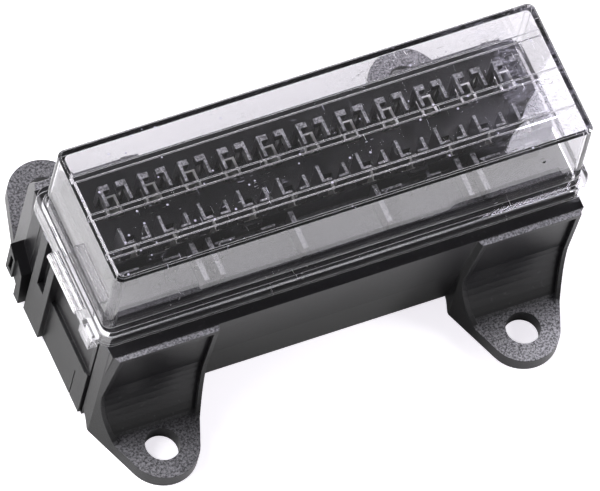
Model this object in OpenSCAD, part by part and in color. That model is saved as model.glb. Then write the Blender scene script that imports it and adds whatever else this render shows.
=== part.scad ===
// Fuse holder
// A black moulded box on four bolt-down feet. It carries a block with a row of
// blade-fuse sockets, each with two formed contacts, under a clear cover that
// lifts straight off. All sizes are in millimetres.
// X runs along the row, Y to the back and Z up. The feet stand on Z = 0.

/* [Feet] */
// Distance from each end of the housing to the bolt holes
hole_inset = 10.9; // [9:0.1:14]
// Distance from the ledge's edge out to the front bolt holes
hole_out_front = 7.1; // [6.4:0.1:12]
// Distance from the ledge's edge out to the back bolt holes
hole_out_back = 11.7; // [8:0.1:14]
// Diameter of each bolt hole
hole_d = 6.6; // [4:0.1:8]
// Width of the ear left round each hole
ear_rim = 3.7; // [3:0.1:5]
// Thickness of the ear plate
plate_t = 3.1; // [2:0.1:5]
// Width of a foot where it leaves the box
foot_w = 22; // [18:0.2:26]
// How far a front foot's top stands out from the ledge
foot_top = 1.2; // [0.8:0.1:2]
// How far a front foot's waist is set back from the ledge's edge
foot_waist = 0.5; // [0.1:0.1:1]
// Height of a front foot's waist
foot_waist_z = 14.4; // [8:0.1:20]
// How far a front foot's toe stands out from the ledge
foot_toe = 4.5; // [3:0.1:5]
// How far a back foot's top stands out from the ledge
back_foot_top = 1.6; // [0.8:0.1:2]
// How far a back foot's upright edge stands out from the ledge
back_foot_out = 4.2; // [2.2:0.1:5]
// Height of a back foot's upright edge below the ledge
back_foot_drop = 5.4; // [2:0.1:10]
// Thickness of the gussets and setback of the web between them
gusset_t = 0.9; // [0.6:0.1:2]

/* [Housing] */
// Distance from the outer sockets' edges to the housing's ends
end_margin = 3.95; // [3.6:0.05:8]
// Height of the ledge outside the cover
ledge_z = 30.8; // [25:0.1:37]
// Width of the ledge outside the cover's rim
ledge_w = 3.25; // [2.6:0.05:5]
// How far the wall's bend is set back from the ledge's edge
bend_in = 1.8; // [1:0.1:2.4]
// Height of the wall's bend
bend_z = 15.5; // [12:0.1:19]
// How far the wall's lower edge is set back from the ledge's edge
skirt_in = 3.8; // [2.6:0.1:4.6]
// Thickness of the housing's walls
wall_t = 1.8; // [1.2:0.1:2.2]
// Height of the rim that the cover fits round
rim_h = 3; // [2:0.1:3.6]
// Thickness of the rim
rim_t = 1.4; // [1:0.1:1.8]
// Depth of the shelf that carries the fuse block, below the ledge
shelf_drop = 7.8; // [6:0.1:10]
// How far the coupling rails stand out past the rim
rail_out = 1.1; // [0.8:0.1:2]
// Height of the wide coupling panel below the ledge
panel_drop = 16.3; // [12:0.1:20]

/* [Fuse block] */
// Number of sockets in the row
sockets = 11; // [3:1:12]
// Distance from socket to socket
pitch = 7.9; // [7:0.1:10]
// Length of a socket, across the box
socket_l = 12.7; // [12:0.1:14]
// Width of a socket, along the box
socket_w = 5.4; // [5:0.1:6.5]
// Distance of the row behind the middle of the box
row_y = 0.55; // [0:0.05:2]
// Height of the deck over the ledge
deck_h = 11.6; // [9:0.1:14]
// Height of the guide posts
post_h = 6; // [4.8:0.1:7.4]
// Thickness of the guide posts' long arms
arm_t = 0.6; // [0.4:0.05:1]
// Distance between the two contacts of a socket
contact_gap = 8.8; // [7:0.1:10]
// Depth of the front cells' floor below the deck
cell_depth = 4.4; // [3:0.1:6]
// Height of the ribs that divide the front cells
cell_rib_h = 3.6; // [2.4:0.1:4.4]

/* [Contacts] */
// Outer width of a contact's box
contact_w = 3.1; // [2.4:0.1:3.2]
// Outer length of a contact's box
contact_l = 3.9; // [3:0.1:4.4]
// Height of a contact's box
contact_h = 7; // [5:0.1:9]
// Height of the neck between box and crimp
neck_h = 3; // [2:0.1:4]
// Height of the crimp
crimp_h = 5; // [4:0.1:6]
// Width of the crimp along the row
crimp_w = 2.6; // [2:0.1:3.1]
// Length of the crimp across the row
crimp_l = 3; // [2.4:0.1:3.8]
// Thickness of the contact's sheet
sheet_t = 0.35; // [0.2:0.05:0.45]
// How far the rear contacts stand up over the deck
rear_up = 0.8; // [0:0.1:1.5]
// How far the front contacts' tops lie below the deck
front_down = 1.4; // [0:0.1:3]
// Running room round each contact in its cavity
contact_room = 0.15; // [0.1:0.05:0.3]

/* [Cover] */
// Width of the cover's top
cover_w = 28.8; // [26:0.1:34]
// Room between the guide posts' tops and the cover's top
headroom = 3.35; // [2:0.05:8]
// Height of the flange's lower edge over the ledge
flange_up = 0.8; // [0.4:0.1:1.4]
// Height of the flange
flange_h = 3.7; // [3.2:0.1:5]
// How far the flange stands out past the wall's foot along the box
flange_out_x = 1.35; // [1.2:0.05:2]
// How far the flange stands out past the wall's foot across the box
flange_out_y = 1.95; // [1.2:0.05:2.2]
// Thickness of the cover's walls and top
cover_t = 1.15; // [0.8:0.05:1.5]
// How much each wall leans out from top to flange
cover_draft = 0.15; // [0.1:0.05:1]
// Width of the ribs under the cover's top
cover_rib_w = 1.15; // [0.8:0.05:2]
// Depth of the ribs under the cover's top
cover_rib_h = 0.8; // [0.4:0.1:1.5]
// Distance between the ribs under the cover's top
cover_rib_gap = 8.3; // [6:0.1:10]
// Radius of each of the latch's two half-round ridges
latch_r = 0.75; // [0.5:0.05:1]
// Length of the latch
latch_l = 12.4; // [8:0.1:16]

/* [Hidden] */
$fn = 48;
eps = 0.01;
gap = 0.3;                              // clearance between neighbouring mouldings
housing_l = sockets * pitch + 2 * end_margin;
end_x = housing_l / 2;                  // outer face of the housing's ends
rim_x = end_x + 0.5;                    // outer face of the rim's ends
rim_y = cover_w / 2 + cover_draft + flange_out_y - cover_t - gap;
ledge_y = rim_y + ledge_w;              // ledge's edge, from the box's middle
flange_x = rim_x + gap + cover_t;
flange_y = rim_y + gap + cover_t;
cover_l = 2 * (flange_x - flange_out_x - cover_draft);
ear_r = hole_d / 2 + ear_rim;
hole_x = end_x - hole_inset;
hole_front_y = ledge_y + hole_out_front;
hole_back_y = ledge_y + hole_out_back;
box_y = (hole_front_y - hole_back_y) / 2; // the box's middle, from that of the holes
rim_top_z = ledge_z + rim_h;
shelf_z = ledge_z - shelf_drop;
deck_z = ledge_z + deck_h;
post_top_z = deck_z + post_h;
cell_floor_z = deck_z - cell_depth;
flange_low_z = ledge_z + flange_up;
flange_z = flange_low_z + flange_h;
cover_top_z = post_top_z + headroom + cover_t;
panel_top_z = ledge_z - panel_drop;
block_x = rim_x - rim_t - gap;          // fuse block inside the rim
block_y = rim_y - rim_t - gap;
cavity_w = contact_w + 2 * contact_room;
cavity_l = contact_l + 2 * contact_room;
deck_x = end_x - 2.9;                   // raised part of the block
deck_front_y = row_y - contact_gap / 2 - cavity_l / 2 - 0.3;
cell_front_y = -(block_y - 0.1);
black = "#2b2a2d";
smoke = [0.85, 0.86, 0.9, 0.35];
tin = "#c9c9c4";

// Rectangle of half sizes x and y with rounded corners
module round_rect(x, y, r) {
  offset(r = r) square([2 * (x - r), 2 * (y - r)], center = true);
}

// Profile drawn in Y and Z, pulled along X from x0 over a length
module along_x(x0, length) {
  translate([x0, 0, 0])
    rotate([90, 0, 90])
      linear_extrude(length) children();
}

// Outline of a foot in plan, from the wall to its bolt hole, narrowed by inset:
// straight sides that taper in and meet the round ear at a tangent
module foot_plan(hole_y, inset = 0) {
  half = foot_w / 2 - inset;
  r = ear_r - inset;
  y0 = ledge_y - 1.4;
  turn = acos(r / norm([half, y0 - hole_y])) - atan2(hole_y - y0, half);
  tangent = [r * cos(turn), hole_y + r * sin(turn)];
  polygon([[-half, y0 - 5], [half, y0 - 5], [half, y0], tangent, [-tangent[0], tangent[1]], [-half, y0]]);
  translate([0, hole_y]) circle(r = r);
}

// Curve down a front foot, from its waist to its toe, set back by a distance
function toe_curve(set_back, n = 8) = [
  for (i = [0 : n])
    let (a = 90 * i / n, rise = foot_waist_z - plate_t, run = foot_toe + foot_waist)
    [ledge_y - foot_waist - set_back + run * (1 - cos(a)) * (1 - 0.12 * set_back),
     foot_waist_z - rise * (0.35 * sin(a) + 0.65 * i / n)]
];

// Outer edge of a foot's gussets in Y and Z, top down, set back by a distance
function front_edge(set_back = 0) = concat(
  [[ledge_y + foot_top - set_back, ledge_z - 0.3 - 0.6 * set_back]], toe_curve(set_back));
function back_edge(set_back = 0) = [
  [ledge_y + back_foot_top - set_back, ledge_z - 0.3 - 0.6 * set_back],
  [ledge_y + back_foot_out - set_back, ledge_z - back_foot_drop],
  [ledge_y + back_foot_out - set_back, plate_t]];

// One foot: ear plate, two gussets and the hollow web between them
module foot(hole_y, edge, web_edge) {
  root_y = ledge_y - skirt_in - 0.9;
  difference() {
    intersection() {
      linear_extrude(ledge_z) foot_plan(hole_y);
      along_x(-foot_w, 2 * foot_w)
        polygon(concat([[root_y, ledge_z - 0.3]], edge,
                       [[hole_y + 2 * ear_r, plate_t], [hole_y + 2 * ear_r, 0], [root_y + 2.8, 0],
                        [root_y + 1.4, plate_t - 0.9], [root_y, plate_t + 0.2]]));
    }
    difference() {
      translate([0, 0, plate_t]) linear_extrude(ledge_z - 1.5 - plate_t)
        foot_plan(hole_y, gusset_t);
      along_x(-foot_w, 2 * foot_w)
        polygon(concat([[root_y - 4, ledge_z]], web_edge,
                       [[web_edge[len(web_edge) - 1][0] - 0.5, 0], [root_y - 4, 0]]));
    }
  }
}

// The four feet, which reach out past the front and the back of the box
module feet() {
  for (x = [-hole_x, hole_x]) {
    translate([x, 0, 0]) mirror([0, 1, 0]) foot(hole_front_y, front_edge(), front_edge(gusset_t));
    translate([x, 0, 0]) foot(hole_back_y, back_edge(), back_edge(gusset_t));
  }
}

// Section of the housing's trough in Y and Z, narrowed by t and open below
module trough_profile(t = 0) {
  low = t > 0 ? -1 : plate_t;
  polygon([[-ledge_y + t, ledge_z - t], [-ledge_y + bend_in + t, bend_z], [-ledge_y + skirt_in + t, low],
           [ledge_y - skirt_in - t, low], [ledge_y - bend_in - t, bend_z], [ledge_y - t, ledge_z - t]]);
}

// Rib inside the wall, with the step that carries the fuse block
module shelf_rib() {
  in_y = ledge_y - wall_t;
  opening_y = rim_y - rim_t + 0.15;
  step_y = block_y - 1.4;
  along_x(-0.75, 1.5)
    polygon([[in_y - skirt_in + 1.4, 8], [in_y - bend_in + 0.2, bend_z],
             [in_y + 0.2, ledge_z - wall_t + 0.2], [opening_y, ledge_z - wall_t + 0.2],
             [opening_y, shelf_z], [step_y, shelf_z], [step_y, shelf_z - 5]]);
}

// Rails on the left end, which couple one box to the next
module left_rails() {
  x0 = -rim_x - rail_out;
  // wide panel
  translate([-rim_x, -12.9, 0.5]) cube([1.4, 16.6, panel_top_z - 0.5]);
  // tall narrow rail with its pocket
  difference() {
    translate([x0, 3.6, 0.9]) cube([rail_out + 1.3, 6.6, ledge_z - 1.7]);
    translate([x0 - 1, 5.4, panel_top_z]) cube([2.3, 2.6, ledge_z]);
  }
  // hooked tab
  difference() {
    union() {
      along_x(x0 - 0.6, rail_out + 1.9)
        polygon([[11.4, 0.8], [13.5, 0.8], [13.6, 4.6], [14.9, 5.4], [15.8, 12.1], [12.4, 9.6]]);
      along_x(x0 - 1.1, rail_out + 2.4)
        polygon([[14.7, 5.4], [17.4, 5.4], [17.6, 13.4], [14.9, 11.4]]);
    }
    translate([x0 - 1.6, 15.4, 6.6]) cube([2.2, 1.1, 4.4]);
  }
}

module housing() {
  opening_x = rim_x - rim_t;
  color(black) translate([0, box_y, 0]) difference() {
    union() {
      difference() {
        union() {
          along_x(-end_x, 2 * end_x) trough_profile();
          // rim that the cover fits round
          translate([0, 0, ledge_z - 1]) linear_extrude(rim_h + 1) round_rect(rim_x, rim_y, 2);
          // end walls carried down almost to the mounting plane
          for (s = [-1, 1])
            translate([s * (end_x - wall_t / 2), 0, 0.5 + plate_t])
              cube([wall_t, 2 * (ledge_y - skirt_in) - 2, 2 * plate_t], center = true);
          feet();
        }
        // hollow under the ledge, open below
        along_x(-end_x + wall_t, 2 * (end_x - wall_t)) trough_profile(wall_t);
        // opening that takes the fuse block
        translate([0, 0, shelf_z]) linear_extrude(20) round_rect(opening_x, rim_y - rim_t, 0.8);
      }
      // ribs that carry the fuse block on their steps
      for (i = [-2 : 2])
        translate([i * 0.19 * housing_l, 0, 0]) {
          shelf_rib();
          mirror([0, 1, 0]) shelf_rib();
        }
      left_rails();
    }
    // pocket in the left end for the latch
    translate([-rim_x - 1, -12, panel_top_z - 0.6]) cube([1.8, 15.6, panel_drop - 0.7]);
    // fine grooves in the left end: before and in the wide panel, and behind the tab
    translate([-rim_x - 1, -13.4, 1]) cube([1.9, 0.5, ledge_z - 2]);
    translate([-rim_x - 1, -9, 0]) cube([1.3, 0.25, 9.5]);
    translate([-rim_x - 1, 11.6, 12]) cube([1.9, 0.3, ledge_z - 13]);
    // grooves in the right end that take a neighbour's rails
    translate([end_x - 0.5, 3.2, 0]) cube([2, 7.4, ledge_z - 1.9]);
    translate([end_x - 0.5, -13.2, 0]) cube([2, 1, ledge_z - 1.9]);
    // bolt holes
    for (x = [-hole_x, hole_x], y = [-hole_front_y, hole_back_y])
      translate([x, y, -1]) cylinder(h = plate_t + 2, d = hole_d);
  }
}

// Back guide post: a corner column with a stub across the socket and a long arm
module back_post(arm) {
  h = post_h;
  beam = 1.6;
  // corner column
  translate([-socket_w / 2, socket_l / 2 - 1.15, -eps]) cube([arm_t + 0.15, 1.15, h + eps]);
  // stub across the socket's back
  translate([-socket_w / 2, socket_l / 2 - 1.15, h - beam]) cube([1.95, 1.15, beam]);
  // long arm towards the front, open below
  translate([-socket_w / 2, socket_l / 2 - arm, h - beam]) cube([arm_t, arm, beam]);
}

// Front guide post: a full-height side wall with a thin stub across the front
module front_post(arm) {
  h = post_h;
  translate([-socket_w / 2, -socket_l / 2, -eps]) cube([arm_t, arm, h + eps]);
  translate([-socket_w / 2, -socket_l / 2, -eps]) cube([1.95, 0.45, h + eps]);
}

// One socket's four guide posts, standing on the deck
module guide_posts() {
  back_post(4.3);
  mirror([1, 0, 0]) back_post(4.1);
  front_post(3.6);
  mirror([1, 0, 0]) front_post(2.6);
}

// Places a child at socket number i of the row
module at_socket(i) {
  translate([(i - (sockets + 1) / 2) * pitch, row_y + box_y, 0]) children();
}

module fuse_block() {
  rib_t = 1;
  cell_y = (deck_front_y + cell_front_y) / 2;
  at_box = [0, box_y, 0];
  color(black) {
    difference() {
      translate(at_box) union() {
        // lower body, which stands on the housing's shelves
        translate([0, 0, shelf_z]) linear_extrude(cell_floor_z - shelf_z) round_rect(block_x, block_y, 0.6);
        // raised deck under the sockets
        translate([-deck_x, deck_front_y, cell_floor_z - eps])
          cube([2 * deck_x, block_y - 0.2 - deck_front_y, deck_z - cell_floor_z + eps]);
      }
      // shoulders at both ends, clear of the cover's walls
      for (s = [-1, 1])
        translate([s * (block_x + 0.4), box_y, cell_floor_z]) cube([2.2, 2 * rim_y, 6.4], center = true);
      // cavities for the contacts
      for (i = [1 : sockets], s = [-1, 1])
        at_socket(i) translate([0, s * contact_gap / 2, deck_z])
          cube([cavity_w, cavity_l, 3 * (deck_z - shelf_z)], center = true);
      // hollows in the underside between the two rows of cavities
      translate([0, row_y + box_y, shelf_z])
        cube([2 * deck_x - 6, contact_gap - cavity_l - 1.6, 16], center = true);
      // wire space under the front cells
      translate([0, cell_y - 0.8 + box_y, shelf_z])
        cube([2 * deck_x - 4, deck_front_y - cell_front_y - 3.6, 22], center = true);
    }
    // guide posts
    for (i = [1 : sockets]) at_socket(i) translate([0, 0, deck_z]) guide_posts();
    // dividing ribs of the front cells, placed in steps of the row
    for (k = [1.068, 3.16, 3.575], side = [-1, 1])
      translate([side * k * pitch - rib_t / 2, cell_front_y + box_y, cell_floor_z - eps])
        cube([rib_t, deck_front_y - cell_front_y + eps, cell_rib_h + eps]);
    // a bar and two low clips in each of four cells
    for (x = [-deck_x + 0.3, -3.16 * pitch, 1.068 * pitch, 3.575 * pitch])
      translate([x, deck_front_y + box_y, cell_floor_z - eps]) {
        translate([0.9 * pitch, -0.5, cell_rib_h - 1]) cube([3.7, 0.5 + eps, 1.6]);
        translate([0.9, -1.85, 0]) cube([4, 0.45, cell_rib_h]);
        translate([1.3, -2.35, 0]) cube([0.45, 0.6, cell_rib_h]);
        translate([1.27 * pitch, -1.85, 0]) cube([2.8, 0.45, cell_rib_h]);
      }
  }
}

// Formed sheet contact: a box with two bowed springs, a neck and a wire crimp
module contact(top_z) {
  w = contact_w;
  l = contact_l;
  t = sheet_t;
  color(tin) translate([0, 0, top_z]) {
    // three walls of the box
    translate([0, 0, -contact_h]) linear_extrude(contact_h)
      difference() {
        square([w, l], center = true);
        translate([0, -t]) square([w - 2 * t, l], center = true);
      }
    // folded top edges, twice the sheet's thickness
    for (s = [-1, 1])
      translate([s * (w / 2 - t) - t / 2, -l / 2, -1.2]) cube([t, l, 1.2]);
    // two springs, bowed in to grip a blade
    for (s = [-1, 1])
      mirror([s < 0 ? 1 : 0, 0, 0])
        translate([0, l / 2 - 0.9, 0])
          rotate([90, 0, 0])
            linear_extrude(2.4)
              polygon([[w / 2 - 1.5 * t, -1], [0.25, -0.46 * contact_h], [w / 2 - 1.5 * t, 1.2 - contact_h],
                       [w / 2 - t / 2, 1.2 - contact_h], [0.25 + t, -0.46 * contact_h], [w / 2 - t / 2, -1]]);
    // neck down to the crimp
    translate([0.4 - crimp_w / 2, l / 2 - t, -contact_h - neck_h]) cube([crimp_w - 0.8, t, neck_h + eps]);
    // open crimp barrel
    translate([0, (l - crimp_l) / 2, -contact_h - neck_h - crimp_h]) linear_extrude(crimp_h)
      difference() {
        square([crimp_w, crimp_l], center = true);
        translate([0, -t]) square([crimp_w - 2 * t, crimp_l], center = true);
      }
  }
}

module contact_rear(i) {
  at_socket(i) translate([0, contact_gap / 2, 0]) contact(deck_z + rear_up);
}

module contact_front(i) {
  at_socket(i) translate([0, -contact_gap / 2, 0]) mirror([0, 1, 0]) contact(deck_z - front_down);
}

// Body of the cover between two heights, inset from its outer face
module cover_shell(low, high, inset, top_inset = 0) {
  k = cover_draft / (cover_top_z - flange_z);
  d_low = k * (cover_top_z - low) - inset;
  d_high = k * (cover_top_z - high) - inset - top_inset;
  hull() {
    translate([0, 0, low]) linear_extrude(eps)
      round_rect(cover_l / 2 + d_low, cover_w / 2 + d_low, 1.5 - inset / 2, $fn = 32);
    translate([0, 0, high - eps]) linear_extrude(eps)
      round_rect(cover_l / 2 + d_high, cover_w / 2 + d_high, 1.5 - inset / 2 - top_inset / 2, $fn = 32);
  }
}

// Latch on the cover's left end: two half-round ridges over a hooked tongue
module latch() {
  x0 = -flange_x - latch_r + 0.2;
  z0 = flange_z - latch_r;
  translate([0, -2.85, 0]) rotate([90, 0, 0])
    translate([0, 0, -latch_l / 2])
      linear_extrude(latch_l)
        difference() {
          union() {
            for (i = [0, 1]) translate([x0 - i * (2 * latch_r - 0.35), z0]) circle(r = latch_r, $fn = 32);
            // tongue that carries the flange's wall down, with its hook
            translate([-flange_x, flange_low_z - 3.4]) square([0.5, 3.6 + eps]);
            translate([-flange_x, flange_low_z - 3.4]) square([1.05, 0.6]);
          }
          for (i = [0, 1])
            translate([x0 - i * (2 * latch_r - 0.35), z0]) {
              circle(r = latch_r - 0.4, $fn = 32);
              translate([-latch_r + 0.4, -2]) square([2 * latch_r - 0.8, 2]);
            }
          translate([x0 - latch_r + 0.05, z0 - 2]) square([2 * latch_r, 2 - eps]);
        }
}

module cover() {
  inner_top = cover_top_z - cover_t;
  color(smoke) translate([0, box_y, 0]) {
    difference() {
      union() {
        cover_shell(flange_z - 0.6, cover_top_z - 0.45, 0);
        cover_shell(cover_top_z - 0.46, cover_top_z, 0, 0.45);
        // flange that drops round the rim
        translate([0, 0, flange_low_z]) linear_extrude(flange_h) round_rect(flange_x, flange_y, 3);
      }
      // inside of the cover
      cover_shell(flange_low_z - 1, inner_top, cover_t);
      // inside of the flange
      translate([0, 0, flange_low_z - 1]) linear_extrude(flange_z - cover_t - flange_low_z + 1)
        round_rect(flange_x - cover_t, flange_y - cover_t, 2.2);
    }
    // three lengthwise ribs under the top
    for (y = [-cover_rib_gap, 0, cover_rib_gap])
      translate([-cover_l / 2 + cover_t / 2, y - cover_rib_w / 2, inner_top - cover_rib_h])
        cube([cover_l - cover_t, cover_rib_w, cover_rib_h + 0.2]);
    latch();
  }
}

housing();
fuse_block();
cover();
contact_rear(1);  // contact_rear_01
contact_rear(2);  // contact_rear_02
contact_rear(3);  // contact_rear_03
contact_rear(4);  // contact_rear_04
contact_rear(5);  // contact_rear_05
contact_rear(6);  // contact_rear_06
contact_rear(7);  // contact_rear_07
contact_rear(8);  // contact_rear_08
contact_rear(9);  // contact_rear_09
contact_rear(10);  // contact_rear_10
contact_rear(11);  // contact_rear_11
contact_front(1);  // contact_front_01
contact_front(2);  // contact_front_02
contact_front(3);  // contact_front_03
contact_front(4);  // contact_front_04
contact_front(5);  // contact_front_05
contact_front(6);  // contact_front_06
contact_front(7);  // contact_front_07
contact_front(8);  // contact_front_08
contact_front(9);  // contact_front_09
contact_front(10);  // contact_front_10
contact_front(11);  // contact_front_11
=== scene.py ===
"""Looks of the fuse holder: black moulded box, clear cover, tin-plated contacts."""
import bpy
from mathutils import Matrix, Vector


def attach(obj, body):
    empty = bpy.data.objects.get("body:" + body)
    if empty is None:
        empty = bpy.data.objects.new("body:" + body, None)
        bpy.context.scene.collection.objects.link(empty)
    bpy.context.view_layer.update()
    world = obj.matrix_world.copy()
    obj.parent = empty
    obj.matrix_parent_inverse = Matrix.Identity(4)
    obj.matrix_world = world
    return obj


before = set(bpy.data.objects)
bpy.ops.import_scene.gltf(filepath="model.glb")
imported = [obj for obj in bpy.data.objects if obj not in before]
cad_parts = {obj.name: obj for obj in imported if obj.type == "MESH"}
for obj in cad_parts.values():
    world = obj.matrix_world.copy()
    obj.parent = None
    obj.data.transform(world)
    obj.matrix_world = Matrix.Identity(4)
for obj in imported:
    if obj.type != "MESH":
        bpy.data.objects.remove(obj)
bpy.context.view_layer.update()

BOX_Y = -0.0023                               # the box's middle, in front of the bolts' middle
BOX_HALF = (0.047, 0.0165)                    # half of the box's length and width at the floor


def new_object(name, data):
    obj = bpy.data.objects.new(name, data)
    bpy.context.scene.collection.objects.link(obj)
    return obj


# Camera

PICTURE = (600.0, 491.0)                      # pixels
PIXELS_PER_M = 5500.0                         # at the cover's top
RIGHT = Vector((0.908, -0.396, 0.138))        # picture's right and up in the object's frame
UP = Vector((0.290, 0.829, 0.474))
TOP = Vector((0.0, BOX_Y, 0.0529))            # middle of the cover's top
TOP_AT = (326.5, 141.0)                       # its pixel
DISTANCE = 3.2
SENSOR = 36.0                                 # millimetres
FAR_CLIP = 20.0                               # metres

right = RIGHT.normalized()
back = right.cross(UP).normalized()
up = back.cross(right)
off_x, off_y = TOP_AT[0] - PICTURE[0] / 2, TOP_AT[1] - PICTURE[1] / 2
aim = TOP - right * (off_x / PIXELS_PER_M) + up * (off_y / PIXELS_PER_M)
cam = new_object("camera", bpy.data.cameras.new("camera"))
bpy.context.scene.camera = cam
cam.data.sensor_width = SENSOR
cam.data.lens = SENSOR * PIXELS_PER_M * DISTANCE / PICTURE[0]
cam.data.clip_end = FAR_CLIP
stand = Matrix((right, up, back)).transposed().to_4x4()
stand.translation = aim + back * DISTANCE
cam.matrix_world = stand

# Materials


class Graph:
    """Small helper that adds nodes to the tree of a material or of the world."""

    def __init__(self, owner, coordinates="Object"):
        owner.use_nodes = True
        self.owner = owner
        self.tree = owner.node_tree
        self.coord = self.add("ShaderNodeTexCoord").outputs[coordinates]

    def add(self, kind, **props):
        n = self.tree.nodes.new(kind)
        for k, v in props.items():
            setattr(n, k, v)
        return n

    def link(self, a, b):
        self.tree.links.new(a, b)

    def put(self, socket, value):
        """Links a socket, or sets a number or a colour."""
        if isinstance(value, bpy.types.NodeSocket):
            self.link(value, socket)
        elif isinstance(value, tuple):
            socket.default_value = (*value, 1)
        else:
            socket.default_value = value

    def inputs(self, node):
        return self.tree.nodes[node].inputs

    def noise(self, scale, detail, rough, vector=None, distortion=0.0):
        n = self.add("ShaderNodeTexNoise")
        self.link(vector or self.coord, n.inputs["Vector"])
        n.inputs["Scale"].default_value = scale
        n.inputs["Detail"].default_value = detail
        n.inputs["Roughness"].default_value = rough
        n.inputs["Distortion"].default_value = distortion
        return n.outputs["Fac"]

    def stretched(self, x, y, z):
        """Coordinates for a noise of scale 1, with cells per metre along each axis."""
        n = self.add("ShaderNodeMapping")
        self.link(self.coord, n.inputs["Vector"])
        n.inputs["Scale"].default_value = (x, y, z)
        return n.outputs["Vector"]

    def cells(self, scale):
        """Distance from the nearest of randomly strewn points."""
        n = self.add("ShaderNodeTexVoronoi", feature="F1")
        self.link(self.coord, n.inputs["Vector"])
        n.inputs["Scale"].default_value = scale
        return n.outputs["Distance"]

    def ramp(self, fac, *stops):
        """Two stops, each a position with a number or a colour."""
        n = self.add("ShaderNodeValToRGB")
        self.link(fac, n.inputs["Fac"])
        for el, (pos, v) in zip(n.color_ramp.elements, stops):
            el.position = pos
            el.color = (*v, 1) if isinstance(v, tuple) else (v, v, v, 1)
        return n.outputs["Color"]

    def math(self, op, a, b=0.0, *more):
        n = self.add("ShaderNodeMath", operation=op)
        self.put(n.inputs[0], a)
        self.put(n.inputs[1], b)
        return self.math(op, n.outputs[0], *more) if more else n.outputs[0]

    def mix(self, fac, a, b, blend="MIX"):
        n = self.add("ShaderNodeMix", data_type="RGBA", blend_type=blend)
        self.put(n.inputs["Factor"], fac)
        self.put(n.inputs[6], a)
        self.put(n.inputs[7], b)
        return n.outputs[2]

    def xyz(self, socket):
        n = self.add("ShaderNodeSeparateXYZ")
        self.link(socket, n.inputs[0])
        return n.outputs

    def above(self, value, low, high):
        """0 at low and beyond it, 1 at high and beyond it."""
        n = self.add("ShaderNodeMapRange", clamp=True)
        self.link(value, n.inputs["Value"])
        n.inputs["From Min"].default_value = low
        n.inputs["From Max"].default_value = high
        return n.outputs["Result"]

    def window(self, z, low, high, soft=0.0001):
        """1 where z lies between two heights."""
        return self.math("MULTIPLY", self.above(z, low - soft, low),
                         self.above(z, high + soft, high))

    def spread(self, value, low, high):
        """Takes 0 to low and 1 to high."""
        n = self.add("ShaderNodeMapRange")
        self.link(value, n.inputs["Value"])
        n.inputs["To Min"].default_value = low
        n.inputs["To Max"].default_value = high
        return n.outputs["Result"]

    def true_normal(self):
        return self.add("ShaderNodeNewGeometry").outputs["True Normal"]

    def bevel(self, radius):
        n = self.add("ShaderNodeBevel", samples=6)
        n.inputs["Radius"].default_value = radius
        return n.outputs["Normal"]

    def bump(self, height, distance, strength, normal=None):
        n = self.add("ShaderNodeBump")
        self.link(height, n.inputs["Height"])
        n.inputs["Distance"].default_value = distance
        n.inputs["Strength"].default_value = strength
        if normal:
            self.link(normal, n.inputs["Normal"])
        return n.outputs["Normal"]

    def compare(self, op, a, b):
        """Dot product or distance of two vectors, the second a socket or three numbers."""
        n = self.add("ShaderNodeVectorMath", operation=op)
        self.link(a, n.inputs[0])
        if isinstance(b, tuple):
            n.inputs[1].default_value = b
        else:
            self.link(b, n.inputs[1])
        return n.outputs["Value"]

    def matt(self, color):
        n = self.add("ShaderNodeBsdfDiffuse")
        self.put(n.inputs["Color"], color)
        return n.outputs["BSDF"]

    def blend(self, fac, a, b):
        """Mixes two shaders."""
        n = self.add("ShaderNodeMixShader")
        self.put(n.inputs["Fac"], fac)
        self.link(a, n.inputs[1])
        self.link(b, n.inputs[2])
        return n.outputs["Shader"]

    def ray(self):
        return self.add("ShaderNodeLightPath").outputs


def material(name):
    """A new material's graph and the inputs of its shader."""
    g = Graph(bpy.data.materials.new(name))
    return g, g.inputs("Principled BSDF")


def shade(color, share):
    return tuple(share * c for c in color)


def off_middle(g, y):
    """Distance from the box's middle across it."""
    return g.math("ABSOLUTE", g.math("ADD", y, -BOX_Y))


# heights between which faces that look up carry the mould's texture and painted light from above
LUG_TOPS = (0.0025, 0.0036)
FOOT_STRIPS = (0.0299, 0.03065)
CELL_FLOORS = (0.0375, 0.0385)
CELL_RIBS = (0.0410, 0.0421)
POST_TOPS = (0.0452, 0.0462)                  # from here up
LOOKS_UP = (0.55, 0.85)                       # upward part of a face's normal

DUST = (0.10, 0.10, 0.105)
DUST_SHARE = 0.15
EDGE_RADIUS = 0.00022


def black_plastic(name, pale, dark, textured_and_lit_from):
    """Black moulded plastic with a faint sheen. Faces that look up get a spark-eroded texture and
    painted light from above that makes them paler, as far as the last argument says."""
    g, shader = material(name)
    looks_up = g.above(g.xyz(g.true_normal())[2], *LOOKS_UP)
    textured_and_lit = g.math("MULTIPLY", looks_up, textured_and_lit_from(g, g.xyz(g.coord)))
    grain = g.noise(2300, 4, 0.7)
    coarse = g.noise(160, 3, 0.55)
    plain = g.mix(coarse, shade(dark, 0.6), dark)
    speckled = g.ramp(grain, (0.40, shade(pale, 0.16)), (0.60, pale))
    # painted light: up-facing faces take a pale colour, as light from above would make them look
    color = g.mix(textured_and_lit, plain, speckled)
    dusty = g.ramp(g.noise(900, 2, 0.5), (0.66, 0.0), (0.74, 1.0))
    g.put(shader["Base Color"], g.mix(g.math("MULTIPLY", dusty, DUST_SHARE), color, DUST))
    g.put(shader["Roughness"],
          g.math("ADD", g.spread(grain, 0.24, 0.36), g.math("MULTIPLY", textured_and_lit, 0.25)))
    shader["Specular IOR Level"].default_value = 0.26
    fine = g.bump(grain, 0.00006, 0.5, g.bevel(EDGE_RADIUS))
    g.put(shader["Normal"], g.bump(coarse, 0.0001, 0.15, fine))
    return g.owner


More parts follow.
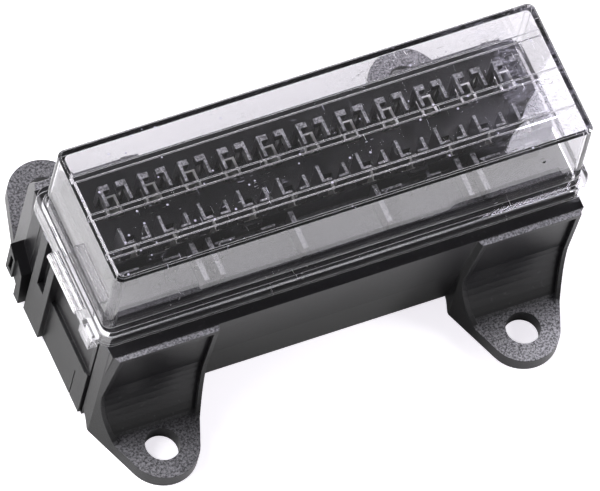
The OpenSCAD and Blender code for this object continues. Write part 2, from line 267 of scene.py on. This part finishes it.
def housing_textured_and_lit(g, place):
    """The lugs' tops, growing towards their tips and to the right, and the strips on the feet.
    Their paleness is painted light from above, and its growth to the right is painted light from
    the right.
    """
    outwards = g.above(off_middle(g, place[1]), 0.019, 0.028)
    # painted light: the lugs get paler to the right, where more light falls
    painted_light_to_right = g.math("ADD", 0.4, g.math("MULTIPLY", g.above(place[0], -0.02, 0.035), 0.6))
    lugs = g.math("MULTIPLY", g.window(place[2], *LUG_TOPS), outwards, painted_light_to_right)
    return g.math("MAXIMUM", lugs, g.math("MULTIPLY", g.window(place[2], *FOOT_STRIPS), 0.5))


def block_textured_and_lit(g, place):
    """The posts' tops, and weaker the tops of the cells' ribs and the cells' floors. Their
    paleness is painted light from above.
    """
    floors = g.math("MULTIPLY", g.window(place[2], *CELL_FLOORS), 0.22)
    ribs = g.math("MULTIPLY", g.window(place[2], *CELL_RIBS), 0.9)
    return g.math("MAXIMUM", floors, ribs, g.above(place[2], *POST_TOPS))


COVER_TOP = (0.0522, 0.0526)                  # height
COVER_EDGE_RADIUS = 0.0001
# reach of the painted highlight along the cover's edges
HIGHLIGHT_EDGE_RADIUS = 0.00022
SCUFFED_END = (0.024, 0.036)                  # x of the scuffed patch's soft left border
SCUFFED_FILM = (0.62, 0.59, 0.74)             # faintly violet
# colour of the painted highlight along the cover's edges
PAINTED_EDGE_HIGHLIGHT = (0.72, 0.715, 0.73)
SHADOW_CLEAR = (0.86, 0.86, 0.87)             # light let through to what lies below
DARK_SPECK = (0.01, 0.01, 0.012)
DARK_SPECK_AT = (0.0384, -0.0168, 0.0467)     # on the front wall
DARK_SPECK_RADIUS = 0.00036


def clear_plastic(name):
    """Clear moulded cover with fine scratches, faint flow waves, specks and painted highlights
    along its edges.
    """
    g, shader = material(name)
    g.put(shader["Base Color"], (0.90, 0.89, 0.91))
    shader["Transmission Weight"].default_value = 1.0
    shader["IOR"].default_value = 1.56
    along_y = g.ramp(g.noise(1, 2, 0.5, g.stretched(2400, 160, 700)), (0.69, 0.0), (0.73, 1.0))
    along_x = g.ramp(g.noise(1, 2, 0.5, g.stretched(500, 2600, 900)), (0.71, 0.0), (0.75, 1.0))
    where = g.ramp(g.noise(55, 2, 0.5), (0.42, 0.0), (0.62, 1.0))
    scratches = g.math("MULTIPLY", g.math("MAXIMUM", along_y, along_x), where)
    g.put(shader["Roughness"], g.math("ADD", g.math("MULTIPLY", scratches, 0.3), 0.015))
    scratched = g.bump(scratches, 0.00002, 0.6, g.bevel(COVER_EDGE_RADIUS))
    g.put(shader["Normal"], g.bump(g.noise(70, 2, 0.4), 0.0002, 0.1, scratched))

    # the top: scuffed patch at its right end, pale scratches and dust
    place = g.xyz(g.coord)
    top = g.above(place[2], *COVER_TOP)
    streaks = g.ramp(g.noise(1, 4, 0.75, g.stretched(420, 1500, 600), 1.5),
                     (0.44, 0.0), (0.62, 1.0))
    blotches = g.ramp(g.noise(110, 3, 0.6), (0.42, 0.0), (0.6, 1.0))
    patch = g.math("MULTIPLY", g.above(place[0], *SCUFFED_END), blotches, streaks, top)
    dots = g.ramp(g.cells(420), (0.085, 1.0), (0.11, 0.0))
    here_and_there = g.ramp(g.noise(230, 1, 0.5), (0.49, 0.0), (0.53, 1.0))
    dust = g.math("MULTIPLY", dots, here_and_there, top)
    film_amount = g.math("MAXIMUM", g.math("MULTIPLY", patch, 0.34),
                  g.math("MULTIPLY", scratches, top, 0.5), g.math("MULTIPLY", dust, 0.75))

    # painted highlight: edges get thin light lines, as if they caught the light
    turned = g.compare("DOT_PRODUCT", g.bevel(HIGHLIGHT_EDGE_RADIUS), g.true_normal())
    edge_highlight = g.above(turned, 0.995, 0.90)
    film_amount = g.math("MAXIMUM", film_amount, g.math("MULTIPLY", edge_highlight, 0.55))
    film_and_edge_highlight = g.matt(g.mix(edge_highlight, SCUFFED_FILM, PAINTED_EDGE_HIGHLIGHT))
    surface = g.blend(film_amount, g.tree.nodes["Principled BSDF"].outputs["BSDF"], film_and_edge_highlight)

    apart = g.compare("DISTANCE", g.coord, DARK_SPECK_AT)
    surface = g.blend(g.math("LESS_THAN", apart, DARK_SPECK_RADIUS), surface, g.matt(DARK_SPECK))
    clear = g.add("ShaderNodeBsdfTransparent")
    g.put(clear.inputs["Color"], SHADOW_CLEAR)
    g.link(g.blend(g.ray()["Is Shadow Ray"], surface, clear.outputs["BSDF"]),
           g.inputs("Material Output")["Surface"])
    return g.owner


def tin(name):
    """Tin-plated formed sheet with faint drawing marks."""
    g, shader = material(name)
    shader["Metallic"].default_value = 1.0
    g.put(shader["Base Color"],
          g.mix(g.noise(1100, 3, 0.5), (0.46, 0.455, 0.45), (0.62, 0.615, 0.61)))
    lines = g.noise(1, 2, 0.5, g.stretched(5200, 5200, 260))
    g.put(shader["Roughness"], g.spread(lines, 0.22, 0.42))
    g.put(shader["Normal"], g.bump(lines, 0.00003, 0.4))
    return g.owner


looks = {
    "housing": black_plastic("housing_plastic", (0.62, 0.605, 0.665), (0.0125, 0.012, 0.0135),
                             housing_textured_and_lit),
    "fuse_block": black_plastic("block_plastic", (0.25, 0.245, 0.265), (0.0085, 0.008, 0.0095),
                                block_textured_and_lit),
    "cover": clear_plastic("clear_cover"),
}
metal = tin("tin_plate")
for name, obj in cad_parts.items():
    mat = looks.get(name, metal)
    if not obj.material_slots:
        obj.data.materials.append(mat)
    for s in obj.material_slots:
        s.material = mat

# Guard beside the latch, a hollow block open below

GUARD = ((-0.05125, -0.0176, 0.0312), (-0.04937, -0.0134, 0.0351))
GUARD_WALL = 0.0008
ROUND = ((0, 0), (1, 0), (1, 1), (0, 1))      # a box's corners, seen from above
corners = []                                  # outer bottom and top, inner bottom and top
for inset in (0.0, GUARD_WALL):
    for z in (GUARD[0][2], GUARD[1][2] - inset):
        for x, y in ROUND:
            corners.append((GUARD[x][0] + inset * (1 - 2 * x),
                            GUARD[y][1] + inset * (1 - 2 * y), z))
faces = [(4, 5, 6, 7), (15, 14, 13, 12)]      # the two tops
for i in range(4):
    j = (i + 1) % 4
    faces += [(i, j, 4 + j, 4 + i),           # outer side, inner side, rim
              (8 + j, 8 + i, 12 + i, 12 + j),
              (j, i, 8 + i, 8 + j)]
guard_mesh = bpy.data.meshes.new("latch_guard")
guard_mesh.from_pydata(corners, [], faces)
guard = new_object("latch_guard", guard_mesh)
guard.data.materials.append(looks["cover"])
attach(guard, "cover")

# Floor: white to the camera, greyer in reflections and through the cover, with a painted shadow
# near the box in reflections

FLOOR_HALF = 6
FLOOR_LIGHT = 0.75                            # emission where the camera sees the floor
MIRRORED, THROUGH = 0.65, 0.55                # shares of it for those rays
# painted shadow of the box in the floor's reflections
PAINTED_SHADOW_NEAR = (0.0055, 0.0125)                  # no mirrored light this near to the box

floor_mesh = bpy.data.meshes.new("floor")
floor_mesh.from_pydata([(-FLOOR_HALF, -FLOOR_HALF, 0), (FLOOR_HALF, -FLOOR_HALF, 0),
                        (FLOOR_HALF, FLOOR_HALF, 0), (-FLOOR_HALF, FLOOR_HALF, 0)],
                       [], [(0, 1, 2, 3)])
floor = new_object("floor", floor_mesh)
g, shader = material("floor_white")
g.put(shader["Base Color"], g.mix(g.noise(9, 2, 0.5), (0.80, 0.80, 0.80), (0.82, 0.82, 0.82)))
shader["Roughness"].default_value = 0.9
shader["Specular IOR Level"].default_value = 0.1
ray = g.ray()
place = g.xyz(g.coord)
out_x = g.math("MAXIMUM", g.math("SUBTRACT", g.math("ABSOLUTE", place[0]), BOX_HALF[0]), 0.0)
out_y = g.math("MAXIMUM", g.math("SUBTRACT", off_middle(g, place[1]), BOX_HALF[1]), 0.0)
far = g.math("SQRT", g.math("ADD", g.math("MULTIPLY", out_x, out_x),
                            g.math("MULTIPLY", out_y, out_y)))
# painted shadow: the floor's mirrored light fades out near the box
mirrored = g.math("MULTIPLY", ray["Is Glossy Ray"], MIRRORED, g.above(far, *PAINTED_SHADOW_NEAR))
through = g.math("MULTIPLY", ray["Is Transmission Ray"], THROUGH)
seen = g.math("MAXIMUM", ray["Is Camera Ray"], mirrored, through)
g.put(shader["Emission Color"], (0.995, 0.965, 1.03))
g.put(shader["Emission Strength"], g.math("MULTIPLY", seen, FLOOR_LIGHT))
floor.data.materials.append(g.owner)

# World: bright at the horizon and dark above; through the cover no darker than a set grey

world = bpy.data.worlds.new("world")
bpy.context.scene.world = world
g = Graph(world, "Generated")
sky = g.ramp(g.xyz(g.coord)[2], (0.05, 1.0), (0.5, 0.135))
seen_through = g.math("MULTIPLY", g.ray()["Is Transmission Ray"], 0.32)
background = g.inputs("Background")
g.put(background["Color"], g.mix(1.0, sky, seen_through, "LIGHTEN"))
background["Strength"].default_value = 1.0

# Lamps


def area(name, at, to, size, power):
    lamp = bpy.data.lights.new(name, "AREA")
    lamp.shape = "RECTANGLE"
    lamp.size, lamp.size_y = size
    lamp.energy = power
    obj = new_object(name, lamp)
    obj.location = at
    obj.rotation_euler = (Vector(to) - Vector(at)).to_track_quat("-Z", "Y").to_euler()
    return obj


MIDDLE = (0, 0, 0.02)
area("key", (-0.55, 0.35, 0.7), MIDDLE, (0.5, 0.4), 9.0)
area("side", (-0.8, -0.05, 0.35), MIDDLE, (0.4, 0.4), 2.8)
area("right", (0.25, -0.13, 0.12), (0.045, -0.03, 0.0), (0.08, 0.08), 0.4)
glow = area("glow", (0.139, 0.078, 0.24), (0.045, -0.01, 0.02), (0.045, 0.06), 0.12)
glow.data.color = (0.92, 0.90, 1.0)
glow.visible_glossy = False

vs = bpy.context.scene.view_settings
vs.view_transform = "Standard"
